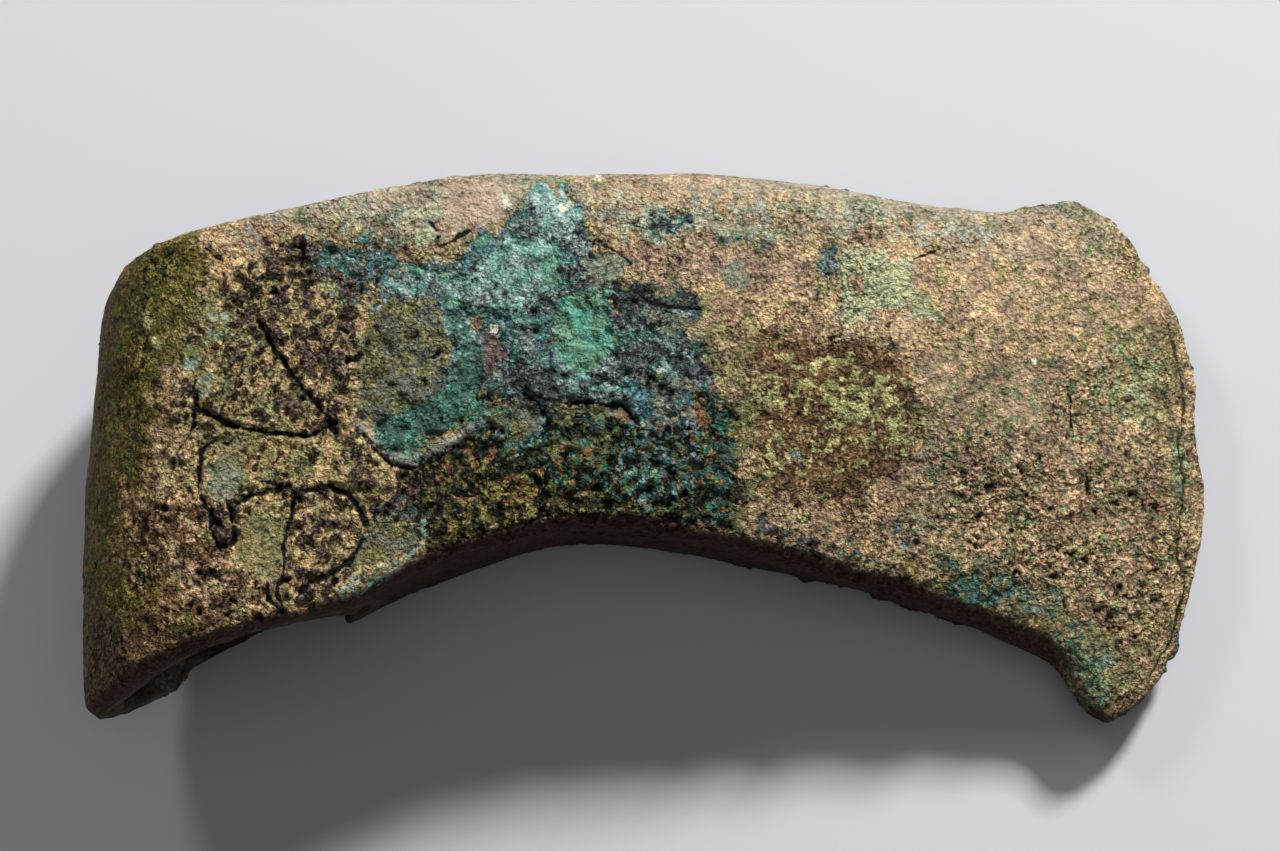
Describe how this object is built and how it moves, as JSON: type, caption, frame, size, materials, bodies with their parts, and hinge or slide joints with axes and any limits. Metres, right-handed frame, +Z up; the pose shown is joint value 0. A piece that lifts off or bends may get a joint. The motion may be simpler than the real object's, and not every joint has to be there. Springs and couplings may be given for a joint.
{
  "type": "shaft-hole axe head",
  "caption": "Ancient cast bronze axe head with an oval shaft hole through a rounded socket and a blade that widens to a curved edge.",
  "frame": {"origin": "centre of the base of the box around the head as it lies on its side", "axes": "+X from the poll towards the cutting edge, +Y towards the arched back, +Z up from the surface it lies on"},
  "size_m": [0.1396, 0.069, 0.0373],
  "materials": {
    "corroded_bronze": "matt brown and green corrosion crust"
  },
  "bodies": {
    "root": {"axe_head": "corroded_bronze"}
  },
  "joints": []
}
